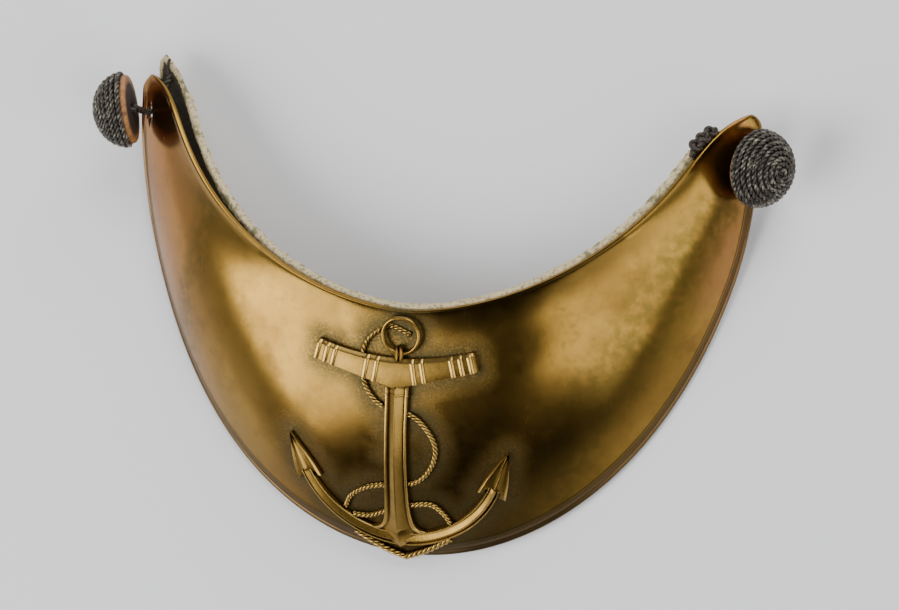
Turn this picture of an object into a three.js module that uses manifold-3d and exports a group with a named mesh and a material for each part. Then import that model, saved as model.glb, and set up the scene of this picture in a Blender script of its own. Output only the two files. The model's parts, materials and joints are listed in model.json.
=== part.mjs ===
// A naval dress gorget: a bent and raised crescent of gilt brass with a cast foul anchor,
// a leather lining behind it, and a wound button tied to each horn by a twisted cord.
// Lengths are in millimetres and angles in degrees. The gorget lies on its back: +Z is up,
// +X runs to the right horn and +Y from the lower edge towards the horns.

import * as THREE from "three";
import { mergeVertices } from "three/addons/utils/BufferGeometryUtils.js";
import Module from "manifold-3d";

// Flat crescent that the sheet is cut to: two superellipses about one middle line
const NECK_HALF_WIDTH = 90;
const NECK_DEPTH = 73.5;
const NECK_FULLNESS = 1.65;
const NECK_SWEEP = 60;
const EDGE_HALF_WIDTH = 87.5;
const EDGE_DEPTH = 128;
const EDGE_DROP = 4;
const EDGE_FULLNESS = 1.9;
const EDGE_SWEEP = 70;
const HORN_START = 0.8; // share of the half crescent where the rounded end begins

// How the sheet is bent round the neck and raised
const WRAP = 72;
const WRAP_POWER = 1.3;
const WRAP_TAPER = 0.1; // the lower edge is bent on a wider curve than the neck edge
const BELLY = 6;
const NECK_FLARE = 2.4;
const NECK_FLARE_SHARE = 0.18;
const EDGE_FORWARD = 3;
const SHEET = 1;

// Worked edges of the sheet
const BEAD_WIDTH = 0.8;
const BEAD_RISE = 0.25;
const BORDER_WIDTH = 2;
const BORDER_RISE = 0.35;

// Leather lining
const LEATHER = 1.2;
const LINING_GAP = 0.3;
const LINING_PROUD = 0.5; // beyond the neck edge
const LINING_INSET = 2.2; // inside the outer edge

// Cast anchor, measured from its foot, which lies this far above the plate's lower edge
const ANCHOR_FOOT = 5.5;
const ANCHOR_SHIFT = -1.5;
const SEAT_GAP = 0.3;
const STOCK_LENGTH = 35.6;
const STOCK_TOP = 42.7;
const STOCK_DEPTH = 6.5;
const STOCK_END_DEPTH = 4.3;
const STOCK_UPTURN = 2.5;
const STOCK_RISE = 1.7;
const BAND_WIDTH = 0.55;
const BAND_RISE = 0.25;
const SHANK_WIDTH = 5;
const SHANK_LEAN = 1.2;
const SHANK_RISE = 1.9;
const ARM_RADIUS = 22.8;
const ARM_SWEEP = 68;
const ARM_WIDTH = 3.2;
const ARM_RISE = 1.5;
const FLUKE_LENGTH = 9.2;
const FLUKE_WIDTH = 6.6;
const FLUKE_RISE = 1.2;
const RING_RADIUS = 4;
const RING_WIRE = 0.8;
const RING_SHIFT = 1.2;
const EYE_WIDTH = 1.3;
const ROPE_WIDTH = 1.15;
const ROPE_RISE = 0.85;

// Wound buttons
const BUTTON_RADIUS = 8.4;
const BUTTON_HEIGHT = 8.8;
const MOULD_RIM = 1.5;
const WINDING = 1.1;
const WINDING_TURNS = 9;
const BUTTON_PLACE = 0.935; // share of the half crescent
const BUTTON_ACROSS = 0.5; // share of the horn's width from the neck edge

// Twisted cord of the buttons
const CORD = 1.6;
const CORD_PLAY = 0.35;
const KNOT_TILT = 25;

const wasm = await Module();
wasm.setup();

const radians = THREE.MathUtils.degToRad;

// The crescent's flat outline, bent curve and raised surface

function superellipse(halfWidth, depth, fullness, angle) {
  const power = 2 / fullness;
  return {
    across: halfWidth * Math.sign(angle) * Math.abs(Math.sin(angle)) ** power,
    up: -depth * Math.cos(angle) ** power,
  };
}

const neckLine = (along) =>
  superellipse(NECK_HALF_WIDTH, NECK_DEPTH, NECK_FULLNESS, radians(NECK_SWEEP) * along);

function edgeLine(along) {
  const line = superellipse(
    EDGE_HALF_WIDTH, EDGE_DEPTH, EDGE_FULLNESS, radians(EDGE_SWEEP) * along);
  return { across: line.across, up: line.up - EDGE_DROP };
}

function widthAt(along) {
  const neck = neckLine(along);
  const edge = edgeLine(along);
  return Math.hypot(edge.across - neck.across, edge.up - neck.up);
}

// The sheet's turn grows as a power of the distance from the middle, so that the front is
// flatter than the horns
function bend(across, stretch) {
  const steps = 24;
  const reach = Math.abs(across) / stretch;
  const turnAt = (distance) => radians(WRAP) * (distance / EDGE_HALF_WIDTH) ** WRAP_POWER;
  let x = 0;
  let z = 0;
  for (let i = 0; i < steps; i += 1) {
    const turn = turnAt(((i + 0.5) * reach) / steps);
    x += (Math.cos(turn) * reach) / steps;
    z -= (Math.sin(turn) * reach) / steps;
  }
  const side = Math.sign(across);
  return { x: side * x * stretch, z: z * stretch, turn: side * turnAt(reach) };
}

// A point of the plate's plain front. along runs from -1 at the left horn to 1 at the
// right one, and down from 0 at the neck edge to 1 at the outer edge.
function platePoint(along, down) {
  const neck = neckLine(along);
  const edge = edgeLine(along);
  const across = THREE.MathUtils.lerp(neck.across, edge.across, down);
  const up = THREE.MathUtils.lerp(neck.up, edge.up, down);
  const bent = bend(across, 1 + WRAP_TAPER * (down - 0.5));
  const middle = Math.max(0, 1 - (across / EDGE_HALF_WIDTH) ** 2);
  const flare = Math.max(0, 1 - down / NECK_FLARE_SHARE) ** 2;
  const raise =
    4 * BELLY * middle * down * (1 - down) +
    NECK_FLARE * (0.3 + 0.7 * middle) * flare +
    EDGE_FORWARD * down;
  return new THREE.Vector3(
    bent.x + Math.sin(bent.turn) * raise, up, bent.z + Math.cos(bent.turn) * raise);
}

function plateNormal(along, down) {
  const step = 1e-3;
  const alongStep = platePoint(along + step, down).sub(platePoint(along - step, down));
  const downStep = platePoint(along, down + step).sub(platePoint(along, down - step));
  return downStep.cross(alongStep).normalize();
}

const raisedPoint = (along, down, height) =>
  platePoint(along, down).addScaledVector(plateNormal(along, down), height);

// The front seen straight on: the point of the plate at x and y, by Newton's method
function frontPoint(x, y, height) {
  let along = x / NECK_HALF_WIDTH;
  let down = 0.5;
  const step = 1e-4;
  for (let i = 0; i < 12; i += 1) {
    const here = platePoint(along, down);
    const a = platePoint(along + step, down).sub(here).divideScalar(step);
    const d = platePoint(along, down + step).sub(here).divideScalar(step);
    const determinant = a.x * d.y - a.y * d.x;
    const dx = x - here.x;
    const dy = y - here.y;
    along += (dx * d.y - dy * d.x) / determinant;
    down += (dy * a.x - dx * a.y) / determinant;
  }
  return raisedPoint(along, down, height);
}

// Meshes and solids

function meshGeometry(points, triangles) {
  const geometry = new THREE.BufferGeometry();
  const positions = points.flatMap((p) => [p.x, p.y, p.z]);
  geometry.setAttribute("position", new THREE.Float32BufferAttribute(positions, 3));
  geometry.setIndex(triangles.flat());
  return geometry;
}

// A wall between an outer and an inner grid of points, closed round its four sides
function wall(outer, inner) {
  const rows = outer.length;
  const columns = outer[0].length;
  const points = [...outer.flat(), ...inner.flat()];
  const front = (row, column) => row * columns + column;
  const back = (row, column) => rows * columns + front(row, column);
  const triangles = [];
  const quad = (a, b, c, d) => triangles.push([a, b, c], [a, c, d]);
  for (let r = 0; r + 1 < rows; r += 1) {
    for (let c = 0; c + 1 < columns; c += 1) {
      quad(front(r, c), front(r, c + 1), front(r + 1, c + 1), front(r + 1, c));
      quad(back(r, c), back(r + 1, c), back(r + 1, c + 1), back(r, c + 1));
    }
    quad(front(r, 0), front(r + 1, 0), back(r + 1, 0), back(r, 0));
    const last = columns - 1;
    quad(front(r, last), back(r, last), back(r + 1, last), front(r + 1, last));
  }
  for (let c = 0; c + 1 < columns; c += 1) {
    quad(front(0, c), back(0, c), back(0, c + 1), front(0, c + 1));
    const last = rows - 1;
    quad(front(last, c), front(last, c + 1), back(last, c + 1), back(last, c));
  }
  return meshGeometry(points, triangles);
}

// A bar through a row of like sections, closed at its ends, or round if it is a loop
function bar(sections, loop = false) {
  const corners = sections[0].length;
  const count = sections.length;
  const at = (section, corner) => (section % count) * corners + (corner % corners);
  const triangles = [];
  for (let s = 0; s < (loop ? count : count - 1); s += 1) {
    for (let c = 0; c < corners; c += 1) {
      triangles.push([at(s, c), at(s + 1, c), at(s + 1, c + 1)]);
      triangles.push([at(s, c), at(s + 1, c + 1), at(s, c + 1)]);
    }
  }
  if (!loop) {
    for (let c = 1; c + 1 < corners; c += 1) {
      triangles.push([at(0, 0), at(0, c), at(0, c + 1)]);
      triangles.push([at(count - 1, 0), at(count - 1, c + 1), at(count - 1, c)]);
    }
  }
  return meshGeometry(sections.flat(), triangles);
}

function toSolid(geometry) {
  const plain = geometry.clone();
  plain.deleteAttribute("normal");
  plain.deleteAttribute("uv");
  const merged = mergeVertices(plain, 1e-4);
  const mesh = new wasm.Mesh({
    numProp: 3,
    vertProperties: merged.attributes.position.array,
    triVerts: new Uint32Array(merged.index.array),
  });
  return new wasm.Manifold(mesh);
}

function toGeometry(solid) {
  const mesh = solid.getMesh();
  const geometry = new THREE.BufferGeometry();
  geometry.setAttribute("position", new THREE.BufferAttribute(mesh.vertProperties, 3));
  geometry.setIndex(new THREE.BufferAttribute(mesh.triVerts, 1));
  return geometry;
}

const joined = (geometries) =>
  toGeometry(geometries.map(toSolid).reduce((whole, piece) => whole.add(piece)));

const cutBy = (geometry, cutters) =>
  toGeometry(cutters.reduce((whole, cutter) => whole.subtract(toSolid(cutter)), toSolid(geometry)));

// Where the buttons sit

// A button's axis points outwards by turn and down by droop. Its middle lies ahead of the
// hole and above it, and stand is the least space between its back and the horn.
// liningReach and standOff place the lining's end against the horn's.
const SIDES = [
  { name: "left", sign: -1, turn: 78, droop: 7.5, ahead: 5, above: 3, stand: 0.3,
    knotLoops: 1, liningReach: 0.035, standOff: 2.6 },
  { name: "right", sign: 1, turn: 58, droop: -5.5, ahead: 1, above: -1.5, stand: 1.4,
    knotLoops: 3, liningReach: -0.03, standOff: 0.6 },
];

// How high the horn stands along a button's axis, under the whole of the button's back
function hornUnder(side, middle, axis) {
  const steps = 24;
  let highest = -Infinity;
  for (let i = 0; i <= steps; i += 1) {
    const along = side.sign * THREE.MathUtils.lerp(HORN_START, 1, i / steps);
    for (let j = 0; j <= steps; j += 1) {
      const offset = platePoint(along, j / steps).sub(middle);
      const height = offset.dot(axis);
      const fromAxis = offset.addScaledVector(axis, -height).length();
      if (fromAxis < BUTTON_RADIUS) highest = Math.max(highest, height);
    }
  }
  return highest;
}

function hornFrame(side) {
  const along = side.sign * BUTTON_PLACE;
  const hole = platePoint(along, BUTTON_ACROSS);
  const normal = plateNormal(along, BUTTON_ACROSS);
  const turn = radians(side.turn);
  const droop = radians(side.droop);
  const axis = new THREE.Vector3(
    side.sign * Math.sin(turn) * Math.cos(droop),
    -Math.sin(droop),
    Math.cos(turn) * Math.cos(droop));
  const middle = hole.clone().add(new THREE.Vector3(0, side.above, side.ahead));
  const stand = hornUnder(side, middle, axis) + BORDER_RISE + side.stand;
  const seat = middle.clone().addScaledVector(axis, stand);
  return { hole, normal, axis, seat };
}

// A rod between two points, for drilling and for the cord's straight stretches
function rod(from, to, radius, sides) {
  const way = to.clone().sub(from);
  const geometry = new THREE.CylinderGeometry(radius, radius, way.length(), sides);
  const turn = new THREE.Quaternion().setFromUnitVectors(
    new THREE.Vector3(0, 1, 0), way.clone().normalize());
  geometry.applyQuaternion(turn);
  geometry.translate((from.x + to.x) / 2, (from.y + to.y) / 2, (from.z + to.z) / 2);
  return geometry;
}

function hornDrill(side, radius) {
  const { hole, normal } = hornFrame(side);
  const from = hole.clone().addScaledVector(normal, 3);
  const to = hole.clone().addScaledVector(normal, -12);
  return rod(from, to, radius, 12);
}

// Front plate

// The front's rise over its plain curve, from each edge inwards: the neck bead, then the
// outer border with its ridge, groove and turned lip
const NECK_BEAD = [
  { inset: 0, rise: 0 },
  { inset: 0.3, rise: 1 },
  { inset: 0.7, rise: 1 },
  { inset: 1, rise: 0 },
];
const BORDER = [
  { inset: 1.3, rise: 0 },
  { inset: 1, rise: 0.7 },
  { inset: 0.75, rise: -0.7 },
  { inset: 0.5, rise: 0.8 },
  { inset: 0.2, rise: 1 },
  { inset: 0, rise: 0 },
];

// Rows from horn to horn, closer together round the horn's end
function hornRows(middleRows, endRows, reachLeft = 1, reachRight = 1) {
  const rows = [];
  const last = radians(80);
  for (let i = endRows; i > 0; i -= 1) {
    const angle = (last * i) / endRows;
    rows.push({
      along: -HORN_START - (reachLeft - HORN_START) * Math.sin(angle), open: Math.cos(angle) });
  }
  for (let i = 0; i <= middleRows; i += 1) {
    rows.push({ along: HORN_START * ((2 * i) / middleRows - 1), open: 1 });
  }
  for (let i = 1; i <= endRows; i += 1) {
    const angle = (last * i) / endRows;
    rows.push({
      along: HORN_START + (reachRight - HORN_START) * Math.sin(angle), open: Math.cos(angle) });
  }
  return rows;
}

function plateGrids() {
  const bellyColumns = 7;
  const front = [];
  const back = [];
  for (const { along, open } of hornRows(32, 8)) {
    const width = widthAt(along) * open;
    const fit = Math.min(1, width / (4 * BORDER_WIDTH));
    const bead = NECK_BEAD.map(({ inset, rise }) => ({
      share: (inset * BEAD_WIDTH * fit) / width, rise: rise * BEAD_RISE * fit }));
    const border = BORDER.map(({ inset, rise }) => ({
      share: 1 - (inset * BORDER_WIDTH * fit) / width, rise: rise * BORDER_RISE * fit }));
    const from = bead[bead.length - 1].share;
    const to = border[0].share;
    const belly = Array.from({ length: bellyColumns - 1 }, (_, i) => ({
      share: THREE.MathUtils.lerp(from, to, (i + 1) / bellyColumns), rise: 0 }));
    const columns = [...bead, ...belly, ...border].map(({ share, rise }) => ({
      down: 0.5 + (share - 0.5) * open, rise }));
    front.push(columns.map(({ down, rise }) => raisedPoint(along, down, rise)));
    back.push(columns.map(({ down }) => raisedPoint(along, down, -SHEET)));
  }
  return { front, back };
}

function frontPlate() {
  const { front, back } = plateGrids();
  const holes = SIDES.map((side) => hornDrill(side, CORD / 2 + CORD_PLAY));
  return cutBy(wall(front, back), holes);
}

// Lining: close to the plate at the bottom, and standing off it towards the horns

function liningDepth(along) {
  const side = along < 0 ? SIDES[0] : SIDES[1];
  return SHEET + LINING_GAP + side.standOff * THREE.MathUtils.smoothstep(Math.abs(along), 0.2, 1);
}

function lining() {
  const columns = 7;
  const outer = [];
  const inner = [];
  const [left, right] = SIDES;
  for (const { along, open } of hornRows(30, 6, 1 + left.liningReach, 1 + right.liningReach)) {
    const width = widthAt(along);
    const top = -LINING_PROUD / width;
    const bottom = 1 - LINING_INSET / width;
    const middle = (top + bottom) / 2;
    const downs = Array.from({ length: columns }, (_, i) =>
      middle + (THREE.MathUtils.lerp(top, bottom, i / (columns - 1)) - middle) * open);
    const depth = liningDepth(along);
    outer.push(downs.map((down) => raisedPoint(along, down, -depth)));
    inner.push(downs.map((down) => raisedPoint(along, down, -depth - LEATHER)));
  }
  const holes = SIDES.map((side) => hornDrill(side, CORD / 2 + CORD_PLAY));
  return cutBy(wall(outer, inner), holes);
}

// Anchor: bars of roof-like section laid on the plate, in the anchor's own plan

const ROOF = [
  { side: -1, up: 0 }, { side: -1, up: 0.4 }, { side: 0, up: 1 },
  { side: 1, up: 0.4 }, { side: 1, up: 0 },
];
const BEVELLED = [
  { side: -1, up: 0 }, { side: -1, up: 0.9 }, { side: 0.7, up: 1 },
  { side: 1, up: 0.55 }, { side: 1, up: 0 },
];
const ROUND = [
  { side: -1, up: 0 }, { side: -0.85, up: 0.65 }, { side: 0, up: 1 },
  { side: 0.85, up: 0.65 }, { side: 1, up: 0 },
];

const anchorFootUp = -EDGE_DEPTH - EDGE_DROP + ANCHOR_FOOT;

// The anchor's foot rides over the raised border of the plate
function anchorPoint(x, y, height) {
  const half = ANCHOR_FOOT / 2;
  const overBorder = BORDER_RISE * (1 - THREE.MathUtils.smoothstep(y, -half, half));
  return frontPoint(x + ANCHOR_SHIFT, y + anchorFootUp, SEAT_GAP + overBorder + height);
}

// stations: { x, y, half, rise } along the bar's middle line
function reliefBar(stations, section, loop = false) {
  const count = stations.length;
  const rings = stations.map((station, i) => {
    const before = loop ? stations[(i + count - 1) % count] : stations[Math.max(0, i - 1)];
    const after = loop ? stations[(i + 1) % count] : stations[Math.min(count - 1, i + 1)];
    const way = new THREE.Vector2(after.x - before.x, after.y - before.y).normalize();
    return section.map(({ side, up }) => anchorPoint(
      station.x - way.y * side * station.half,
      station.y + way.x * side * station.half,
      up * station.rise));
  });
  return bar(rings, loop);
}

const stockBottom = STOCK_TOP - STOCK_DEPTH;
const stockHalf = STOCK_LENGTH / 2;

// The stock's upper and lower outline at a share of its half length
function stockOutline(share) {
  const top = STOCK_TOP + STOCK_UPTURN * share ** 2;
  const endBottom = STOCK_TOP + STOCK_UPTURN - STOCK_END_DEPTH;
  return { top, bottom: THREE.MathUtils.lerp(stockBottom, endBottom, Math.abs(share)) };
}

function stock() {
  const shares = [-1, -0.8, -0.6, -0.4, -0.2, 0, 0.2, 0.4, 0.6, 0.8, 1];
  const stations = shares.map((share) => {
    const { top, bottom } = stockOutline(share);
    return {
      x: share * stockHalf, y: (top + bottom) / 2, half: (top - bottom) / 2,
      rise: STOCK_RISE * (1 - 0.12 * share ** 2) };
  });
  return reliefBar(stations, BEVELLED);
}

// Raised bands across the stock, as shares of its half length
const BANDS = [{ share: 0.22 }, { share: 0.35 }, { share: 0.74 }, { share: 0.87 }];

function stockBand(share) {
  const { top, bottom } = stockOutline(share);
  const inset = BAND_RISE;
  const rows = [bottom + inset, top - inset].map((y) => ({
    x: share * stockHalf, y, half: BAND_WIDTH / 2, rise: STOCK_RISE + BAND_RISE }));
  return reliefBar(rows, ROOF);
}

function shank() {
  const foot = ARM_WIDTH / 2;
  const rows = [
    { share: 0, width: 2.1 }, { share: 0.06, width: 1.6 }, { share: 0.13, width: 1.27 },
    { share: 0.22, width: 1.12 }, { share: 0.5, width: 1 }, { share: 0.8, width: 1 },
    { share: 1, width: 1.05 },
  ];
  return reliefBar(rows.map(({ share, width }) => ({
    x: (share - 0.5) * SHANK_LEAN,
    y: THREE.MathUtils.lerp(foot, stockBottom + STOCK_DEPTH / 2, share),
    half: (SHANK_WIDTH / 2) * width, rise: SHANK_RISE })), ROOF);
}

const armPoint = (angle) => ({
  x: ARM_RADIUS * Math.sin(angle), y: ARM_RADIUS * (1 - Math.cos(angle)) });

function arms() {
  const steps = 16;
  const sweep = radians(ARM_SWEEP);
  const stations = Array.from({ length: steps + 1 }, (_, i) => {
    const share = (2 * i) / steps - 1;
    return {
      ...armPoint(share * sweep), half: (ARM_WIDTH / 2) * (1 - 0.25 * share ** 2), rise: ARM_RISE };
  });
  return reliefBar(stations, ROOF);
}

// The crown's flat point between the arms and the rope below them
function crown() {
  const half = ARM_RADIUS * 0.45;
  const drop = ANCHOR_FOOT - ROPE_WIDTH;
  const rows = [-1, -0.5, 0, 0.5, 1].map((share) => {
    const arc = ARM_RADIUS * (1 - Math.sqrt(1 - (share * half / ARM_RADIUS) ** 2));
    const top = ARM_WIDTH / 4 + arc;
    const bottom = Math.min(top - 0.4, -drop * (1 - Math.abs(share)));
    return {
      x: share * half, y: (top + bottom) / 2, half: (top - bottom) / 2, rise: ARM_RISE * 0.45 };
  });
  return reliefBar(rows, ROUND);
}

// A palm: from its point to its two barbs, with a ridge that runs on from the arm
const PALM = [
  { along: -0.12, half: 0.95 }, { along: 0.1, half: 0.86 }, { along: 0.35, half: 0.62 },
  { along: 0.65, half: 0.33 }, { along: 1, half: 0.03 },
];

function fluke(sign) {
  const sweep = radians(ARM_SWEEP) * sign;
  const base = armPoint(sweep);
  const way = { x: Math.cos(sweep) * sign, y: Math.sin(sweep) * sign };
  return reliefBar(PALM.map(({ along, half }) => ({
    x: base.x + way.x * along * FLUKE_LENGTH, y: base.y + way.y * along * FLUKE_LENGTH,
    half: (half * FLUKE_WIDTH) / 2, rise: FLUKE_RISE * (1 - 0.4 * Math.max(0, along)) })), ROOF);
}

const ringUp = STOCK_TOP + 1 + RING_RADIUS;

function ring() {
  const steps = 20;
  const stations = Array.from({ length: steps }, (_, i) => {
    const angle = (2 * Math.PI * i) / steps;
    return {
      x: RING_SHIFT + RING_RADIUS * Math.cos(angle), y: ringUp + RING_RADIUS * Math.sin(angle),
      half: RING_WIRE / 2, rise: RING_WIRE * 1.6 };
  });
  return reliefBar(stations, ROUND, true);
}

function eye() {
  const rows = [STOCK_TOP - STOCK_DEPTH / 4, ringUp - RING_RADIUS + RING_WIRE].map((y, i) => ({
    x: RING_SHIFT / 2, y, half: EYE_WIDTH / 2, rise: i ? RING_WIRE * 1.9 : STOCK_RISE }));
  return reliefBar(rows, ROUND);
}

// The rope's runs. across is a share of the arms' radius, and up of the height to the stock.
const ROPE_RUNS = [
  [
    { across: 0.13, up: 1.12 }, { across: -0.04, up: 1.155 }, { across: -0.15, up: 1.14 },
    { across: -0.28, up: 1.08 }, { across: -0.33, up: 1 }, { across: -0.31, up: 0.87 },
    { across: -0.24, up: 0.8 }, { across: -0.12, up: 0.75 }, { across: 0.12, up: 0.72 },
    { across: 0.25, up: 0.68 }, { across: 0.36, up: 0.6 }, { across: 0.39, up: 0.53 },
    { across: 0.35, up: 0.45 }, { across: 0.25, up: 0.375 }, { across: 0.1, up: 0.33 },
    { across: -0.14, up: 0.315 }, { across: -0.33, up: 0.285 }, { across: -0.48, up: 0.225 },
    { across: -0.55, up: 0.15 },
  ],
  [
    { across: -0.48, up: 0.11 }, { across: -0.32, up: 0.115 }, { across: -0.17, up: 0.15 },
    { across: 0, up: 0.19 }, { across: 0.13, up: 0.21 }, { across: 0.32, up: 0.22 },
    { across: 0.43, up: 0.17 }, { across: 0.49, up: 0.11 },
  ],
  [
    { across: -0.47, up: 0.01 }, { across: -0.24, up: -0.058 }, { across: -0.02, up: -0.112 },
    { across: 0.04, up: -0.112 }, { across: 0.26, up: -0.052 }, { across: 0.48, up: 0.02 },
  ],
];

function ropeRun(run) {
  const curve = new THREE.CatmullRomCurve3(run.map(({ across, up }) =>
    new THREE.Vector3(across * ARM_RADIUS, up * STOCK_TOP, 0)));
  const points = curve.getSpacedPoints(Math.round(curve.getLength() / (1.6 * ROPE_WIDTH)));
  return reliefBar(points.map(({ x, y }) => ({
    x, y, half: ROPE_WIDTH / 2, rise: ROPE_RISE })), ROUND);
}

function anchor() {
  const bands = BANDS.flatMap(({ share }) => [stockBand(-share), stockBand(share)]);
  return joined([
    stock(), ...bands, shank(), arms(), crown(), fluke(-1), fluke(1), ring(), eye(),
    ...ROPE_RUNS.map(ropeRun),
  ]);
}

// Buttons: a turned mould with a flat back, wound with cord over its dome

const domePoint = (radius, height, angle) =>
  new THREE.Vector2(radius * Math.cos(angle), MOULD_RIM + (height - MOULD_RIM) * Math.sin(angle));

const cordHole = CORD / 2 + CORD_PLAY;

function mould() {
  const steps = 4;
  const coreRadius = BUTTON_RADIUS - WINDING - SEAT_GAP;
  const coreHeight = BUTTON_HEIGHT - WINDING - SEAT_GAP;
  const rim = BUTTON_RADIUS - 0.25;
  const profile = [
    new THREE.Vector2(0, MOULD_RIM), new THREE.Vector2(cordHole, MOULD_RIM),
    new THREE.Vector2(cordHole, 0), new THREE.Vector2(rim - 0.4, 0),
    new THREE.Vector2(rim, MOULD_RIM / 2), new THREE.Vector2(rim - 0.3, MOULD_RIM - SEAT_GAP),
    new THREE.Vector2(coreRadius, MOULD_RIM - SEAT_GAP),
  ];
  for (let i = 0; i <= steps; i += 1) {
    profile.push(domePoint(coreRadius, coreHeight, (Math.PI / 2) * (i / steps)));
  }
  profile[profile.length - 1].x = 0;
  return new THREE.LatheGeometry(profile, 22);
}

function winding() {
  const innerSteps = 4;
  const innerRadius = BUTTON_RADIUS - WINDING;
  const innerHeight = BUTTON_HEIGHT - WINDING;
  const groove = WINDING * 0.3;
  const profile = [];
  for (let i = innerSteps; i >= 0; i -= 1) {
    profile.push(domePoint(innerRadius, innerHeight, (Math.PI / 2) * (i / innerSteps)));
  }
  profile.push(domePoint(BUTTON_RADIUS - groove, BUTTON_HEIGHT, 0));
  for (let i = 0; i < WINDING_TURNS; i += 1) {
    const crest = (Math.PI / 2) * ((i + 0.5) / WINDING_TURNS);
    const valley = (Math.PI / 2) * ((i + 1) / WINDING_TURNS);
    profile.push(domePoint(BUTTON_RADIUS, BUTTON_HEIGHT, crest));
    profile.push(domePoint(BUTTON_RADIUS - groove, BUTTON_HEIGHT - groove, valley));
  }
  profile[0].x = 0;
  profile[profile.length - 1].x = 0;
  return new THREE.LatheGeometry(profile, 24);
}

// Button cords: out of the mould, through the horn, and on to the lining

function tube(points, radius, sides) {
  const curve = new THREE.CatmullRomCurve3(points);
  const circle = new THREE.EllipseCurve(0, 0, radius, radius);
  const outline = new THREE.Shape(circle.getPoints(sides).slice(0, sides));
  return new THREE.ExtrudeGeometry(outline, {
    extrudePath: curve, steps: Math.round(curve.getLength() / (1.6 * radius)), curveSegments: 1 });
}

function buttonCord(side) {
  const { hole, normal, axis, seat } = hornFrame(side);
  const inMould = seat.clone().addScaledVector(axis, MOULD_RIM - SEAT_GAP);
  const behind = liningDepth(side.sign * BUTTON_PLACE) + LEATHER;
  const route = [
    inMould,
    seat.clone().addScaledVector(axis, -CORD_PLAY),
    hole.clone().addScaledVector(normal, CORD / 2),
    hole.clone().addScaledVector(normal, -SHEET * 1.5),
    hole.clone().addScaledVector(normal, -behind),
    hole.clone().addScaledVector(normal, -behind - CORD),
  ];
  const knotDepth = CORD * (0.5 + 0.95 * Math.sin(radians(KNOT_TILT)));
  const knotCentre = hole.clone().addScaledVector(normal, -behind - SEAT_GAP - knotDepth);
  const facing = new THREE.Quaternion().setFromUnitVectors(new THREE.Vector3(0, 1, 0), normal);
  const knot = Array.from({ length: side.knotLoops }, (_, i) => {
    const loop = new THREE.TorusGeometry(CORD * 0.95, CORD / 2, 5, 9);
    loop.rotateX(Math.PI / 2);
    loop.rotateZ(radians(KNOT_TILT));
    loop.rotateY((Math.PI * i) / side.knotLoops);
    loop.applyQuaternion(facing);
    loop.translate(knotCentre.x, knotCentre.y, knotCentre.z);
    return loop;
  });
  return joined([tube(route, CORD / 2, 7), ...knot]);
}

// Materials

const brass = new THREE.MeshStandardMaterial({ color: 0x9c7433, roughness: 0.32, metalness: 1 });
const gilt = new THREE.MeshStandardMaterial({ color: 0xb48a45, roughness: 0.36, metalness: 1 });
const leather = new THREE.MeshStandardMaterial({ color: 0xcfc8a8, roughness: 0.9, metalness: 0 });
const mouldBrown = new THREE.MeshStandardMaterial({ color: 0xa8713c, roughness: 0.6, metalness: 0 });
const bullion = new THREE.MeshStandardMaterial({ color: 0x4a4540, roughness: 0.45, metalness: 0.6 });
const darkCord = new THREE.MeshStandardMaterial({ color: 0x40362c, roughness: 0.8, metalness: 0 });

// Assembly, in the frame of the plate seen from the front, then laid on its back

function named(name, geometry, material) {
  const mesh = new THREE.Mesh(geometry, material);
  mesh.name = name;
  return mesh;
}

const upright = new THREE.Group();
upright.add(named("front_plate", frontPlate(), brass));
upright.add(named("anchor", anchor(), gilt));
upright.add(named("lining", lining(), leather));
for (const side of SIDES) {
  const { axis, seat } = hornFrame(side);
  const button = new THREE.Group();
  button.position.copy(seat);
  button.quaternion.setFromUnitVectors(new THREE.Vector3(0, 1, 0), axis);
  button.add(named(`button_mould_${side.name}`, mould(), mouldBrown));
  button.add(named(`button_winding_${side.name}`, winding(), bullion));
  upright.add(button);
  upright.add(named(`button_cord_${side.name}`, buttonCord(side), darkCord));
}

// The weights of the materials, in grams for each cubic centimetre
const DENSITIES = new Map([
  [brass, 8.5], [gilt, 8.5], [leather, 0.9], [mouldBrown, 0.7], [bullion, 2], [darkCord, 1],
]);

// Every corner of a group's meshes, and the middle of their weight
function weigh(group) {
  const corners = [];
  const middle = new THREE.Vector3();
  let weight = 0;
  group.updateMatrixWorld(true);
  group.traverse((object) => {
    if (!object.isMesh) return;
    const { attributes, index } = object.geometry;
    const points = Array.from({ length: attributes.position.count }, (_, i) =>
      new THREE.Vector3().fromBufferAttribute(attributes.position, i).applyMatrix4(object.matrixWorld));
    corners.push(...points);
    for (let i = 0; i < index.count; i += 3) {
      const [a, b, c] = [0, 1, 2].map((k) => points[index.getX(i + k)]);
      const share = a.dot(b.clone().cross(c)) * DENSITIES.get(object.material);
      middle.addScaledVector(a, share / 4).addScaledVector(b, share / 4).addScaledVector(c, share / 4);
      weight += share;
    }
  });
  return { corners, middle: middle.divideScalar(weight) };
}

// The turn about X at which the gorget rests: its weight then stands lowest
function restTurn(group) {
  const { corners, middle } = weigh(group);
  const stand = (turn) => {
    const height = ({ y, z }) => y * Math.sin(turn) + z * Math.cos(turn);
    return height(middle) - Math.min(...corners.map(height));
  };
  let flat = 0;
  let steep = Math.PI / 3;
  for (let i = 0; i < 40; i += 1) {
    const third = (steep - flat) / 3;
    if (stand(flat + third) > stand(steep - third)) flat += third;
    else steep -= third;
  }
  return (flat + steep) / 2;
}

upright.rotation.x = restTurn(upright);
const gorget = new THREE.Group();
gorget.add(upright);
gorget.updateMatrixWorld(true);
const box = new THREE.Box3().setFromObject(gorget, true);
const centre = box.getCenter(new THREE.Vector3());
upright.position.set(-centre.x, -centre.y, -box.min.z);
gorget.updateMatrixWorld(true);

export default gorget;
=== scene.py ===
import json
import math

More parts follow.
